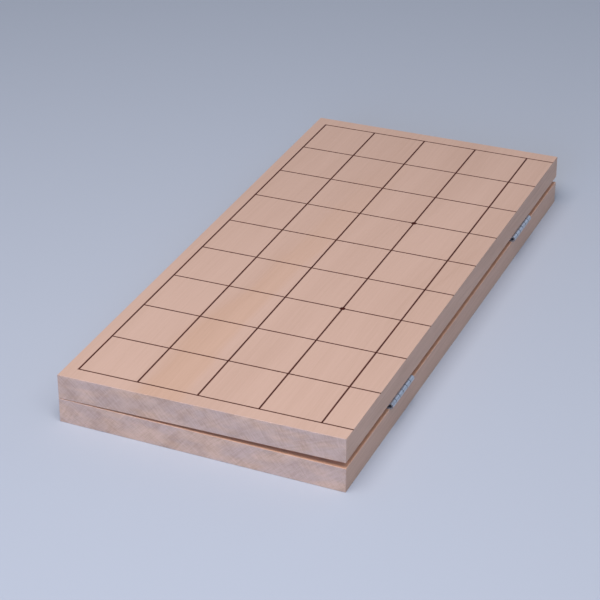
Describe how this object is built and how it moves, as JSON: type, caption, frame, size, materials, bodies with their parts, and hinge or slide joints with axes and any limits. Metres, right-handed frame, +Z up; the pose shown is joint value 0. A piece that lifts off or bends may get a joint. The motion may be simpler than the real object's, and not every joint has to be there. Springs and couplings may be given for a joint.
{
  "type": "folding shogi board",
  "caption": "Wooden shogi board in two halves with an inlaid playing grid, joined along the middle by small butt hinges and folded with the playing faces outward.",
  "frame": {"origin": "on the table, under the middle of the folded board's outline", "axes": "+Z is up. +Y runs along the fold, away from the camera's end. +X points across the board to the fold, and the free edges of both halves are at -X."},
  "size_m": [0.1682, 0.367, 0.0325],
  "materials": {
    "wood": "fine sanded, thin clear satin finish",
    "line_lacquer": "dark brown-black lacquer, satin",
    "hinge_steel": "plated and dull bright",
    "screw_steel": "plated and dull bright"
  },
  "bodies": {
    "lower_half": {"lower_board": "wood", "lower_grid_lines": "line_lacquer", "lower_star_points": "line_lacquer", "near_hinge_lower_leaf": "hinge_steel", "near_hinge_lower_screws": "screw_steel", "near_hinge_pin": "hinge_steel", "far_hinge_lower_leaf": "hinge_steel", "far_hinge_lower_screws": "screw_steel", "far_hinge_pin": "hinge_steel"},
    "upper_half": {"upper_board": "wood", "upper_grid_lines": "line_lacquer", "upper_star_points": "line_lacquer", "near_hinge_upper_leaf": "hinge_steel", "near_hinge_upper_screws": "screw_steel", "far_hinge_upper_leaf": "hinge_steel", "far_hinge_upper_screws": "screw_steel"}
  },
  "joints": [
    {"name": "fold", "type": "hinge", "parent": "lower_half", "child": "upper_half", "pos_m": [0.08237, 0, 0.01625], "axis": [0, 1, 0], "range_deg": [0, 181.16]}
  ]
}
